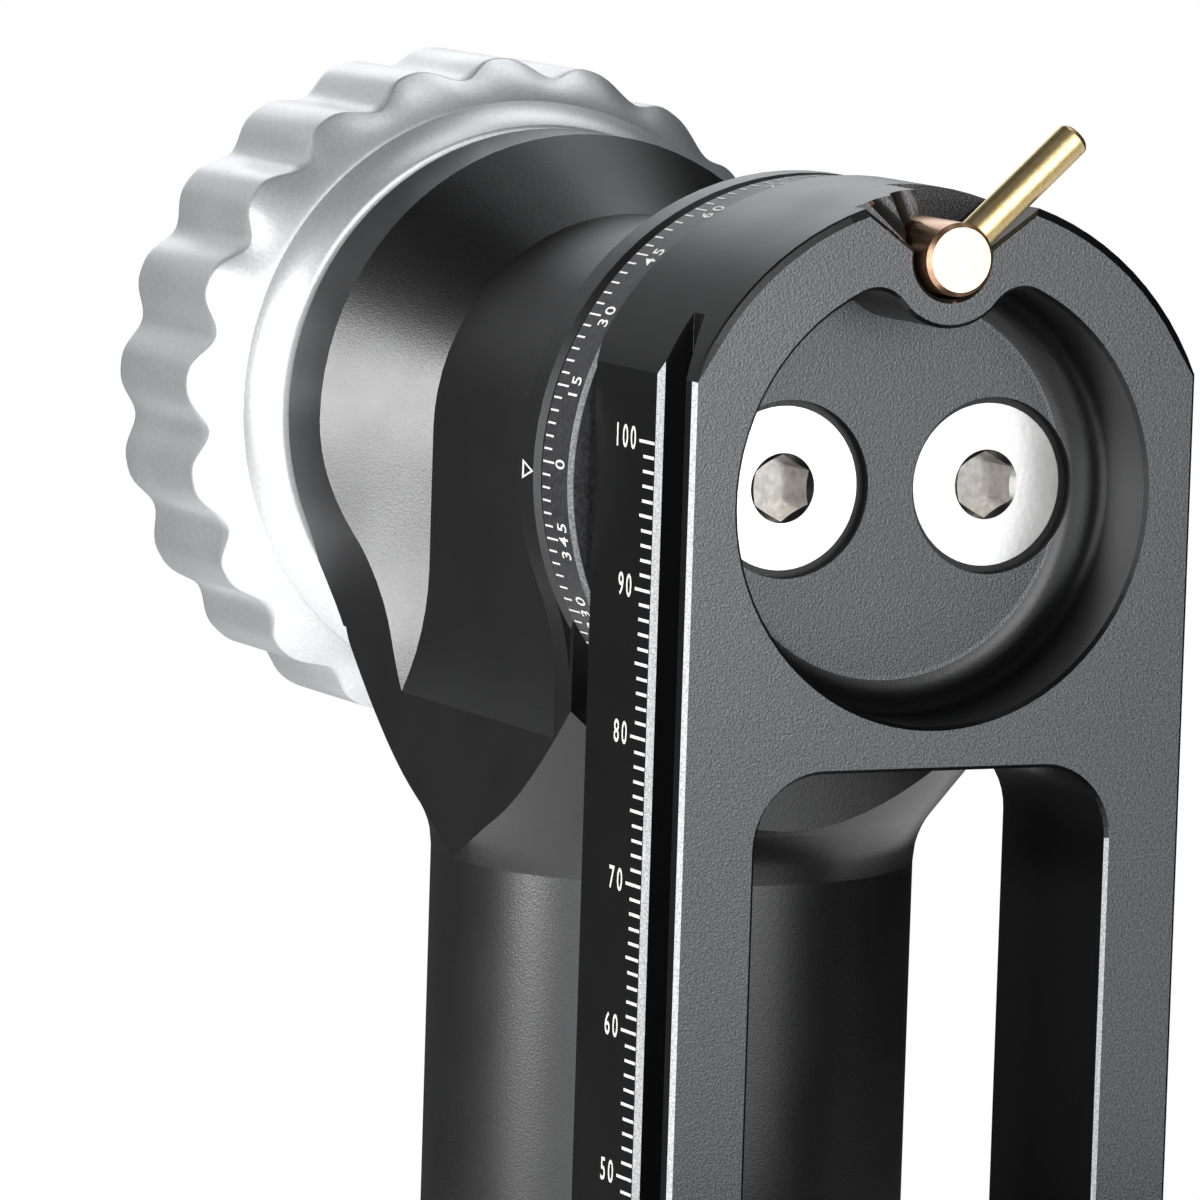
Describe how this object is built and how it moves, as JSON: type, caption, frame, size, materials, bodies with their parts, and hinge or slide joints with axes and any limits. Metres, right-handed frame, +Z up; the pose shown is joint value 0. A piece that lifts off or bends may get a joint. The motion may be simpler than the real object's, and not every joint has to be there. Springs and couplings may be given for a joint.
{
  "type": "gimbal head",
  "caption": "Gimbal head for a long lens: panning base, post with a waisted tilt hub, dovetailed swing arm with a lever lock pin, sliding lens clamp and scalloped lock knobs.",
  "frame": {"origin": "mouth of the tripod thread in the base's underside, on the pan axis", "axes": "+Z up along the pan axis, +Y from the lens towards the tilt knob along the tilt axis, +X to the right seen from the swing arm's front"},
  "size_m": [0.0921, 0.1736, 0.2002],
  "materials": {
    "black_anodised": "satin black anodised",
    "arm_anodised": "bead blasted, black anodised",
    "satin_black": "smooth black anodised",
    "silver_aluminium": "satin silver anodised",
    "steel": "turned steel",
    "bright_steel": "bright stainless steel",
    "black_steel": "black oxide steel",
    "brake_fibre": "matt friction fibre",
    "brass": "brushed brass",
    "bronze": "turned bronze",
    "rubber": "matt rubber"
  },
  "bodies": {
    "base": {"base_plate": "black_anodised", "tripod_bush": "steel", "base_screws": "steel", "pan_spindle": "steel", "pan_spacer": "steel", "pan_spindle_nut": "steel", "pan_inner_races": "steel"},
    "frame": {"pan_housing": "black_anodised", "pan_cap": "black_anodised", "pan_cap_screws": "steel", "pan_outer_races": "steel", "pan_balls": "steel", "upright": "satin_black", "upright_screws": "black_steel", "tilt_outer_races": "steel", "tilt_balls": "steel"},
    "pan_shoe": {"pan_brake_shoe": "brass"},
    "pan_lock": {"pan_knob": "silver_aluminium", "pan_knob_stud": "steel"},
    "swing": {"swing_arm": "arm_anodised", "arm_screws": "bright_steel", "arm_stop_screws": "steel", "tilt_disc": "black_anodised", "tilt_shaft": "steel", "tilt_inner_races": "steel", "tilt_spacer": "steel", "tilt_spring_washers": "steel", "tilt_brake_washer": "brake_fibre"},
    "tilt_lock": {"tilt_knob": "silver_aluminium", "tilt_knob_insert": "brass", "tilt_knob_cap": "black_anodised"},
    "lock_slider": {"lock_o_ring": "rubber"},
    "lock": {"lock_pin": "bronze", "lock_lever": "brass"},
    "carriage": {"carriage_body": "black_anodised", "lens_platform": "black_anodised", "platform_screws": "steel", "arm_jaw_guide_pins": "steel", "lens_jaw_guide_pins": "steel"},
    "arm_jaw": {"arm_clamp_jaw": "black_anodised"},
    "arm_lock": {"arm_clamp_knob": "silver_aluminium", "arm_clamp_screw": "steel", "arm_clamp_washer": "steel"},
    "lens_jaw": {"lens_clamp_jaw": "black_anodised"},
    "lens_lock": {"lens_clamp_knob": "silver_aluminium", "lens_clamp_screw": "steel", "lens_clamp_washer": "steel"}
  },
  "joints": [
    {"name": "pan", "type": "hinge", "parent": "base", "child": "frame", "pos_m": [0, 0, 0], "axis": [0, 0, 1], "continuous": true},
    {"name": "pan_shoe_slide", "type": "slide", "parent": "frame", "child": "pan_shoe", "axis": [-1, 0, 0], "range_m": [0, 0.0009375]},
    {"name": "pan_knob_turn", "type": "hinge", "parent": "pan_shoe", "child": "pan_lock", "pos_m": [0, 0, 0.0254], "axis": [-1, 0, 0], "range_deg": [0, 270.5]},
    {"name": "tilt", "type": "hinge", "parent": "frame", "child": "swing", "pos_m": [0, 0.042, 0.175], "axis": [0, 1, 0], "continuous": true},
    {"name": "tilt_knob_turn", "type": "hinge", "parent": "swing", "child": "tilt_lock", "pos_m": [0, 0.042, 0.175], "axis": [0, 1, 0], "range_deg": [0, 270]},
    {"name": "lock_pin_slide", "type": "slide", "parent": "swing", "child": "lock_slider", "axis": [0, 1, 0], "range_m": [0, 0.0018]},
    {"name": "lock_lever_turn", "type": "hinge", "parent": "lock_slider", "child": "lock", "pos_m": [0, 0.042, 0.1913], "axis": [0, 1, 0], "range_deg": [-96, 0]},
    {"name": "carriage_slide", "type": "slide", "parent": "swing", "child": "carriage", "axis": [0, 0, 1], "range_m": [-0.003, 0.04]},
    {"name": "arm_jaw_slide", "type": "slide", "parent": "carriage", "child": "arm_jaw", "axis": [1, 0, 0], "range_m": [0, 0.003]},
    {"name": "arm_clamp_turn", "type": "hinge", "parent": "arm_jaw", "child": "arm_lock", "pos_m": [0, 0.0347, 0.1], "axis": [1, 0, 0], "range_deg": [0, 1081]},
    {"name": "lens_jaw_slide", "type": "slide", "parent": "carriage", "child": "lens_jaw", "axis": [0, -1, 0], "range_m": [0, 0.003]},
    {"name": "lens_clamp_turn", "type": "hinge", "parent": "lens_jaw", "child": "lens_lock", "pos_m": [0, 0, 0.084], "axis": [0, -1, 0], "range_deg": [0, 1081]}
  ],
  "couplings": [
    {"joint": "pan_knob_turn", "follows": "pan_shoe_slide", "rad_per_m": 5026.5},
    {"joint": "arm_clamp_turn", "follows": "arm_jaw_slide", "rad_per_m": 6283.2},
    {"joint": "lens_clamp_turn", "follows": "lens_jaw_slide", "rad_per_m": 6283.2}
  ]
}
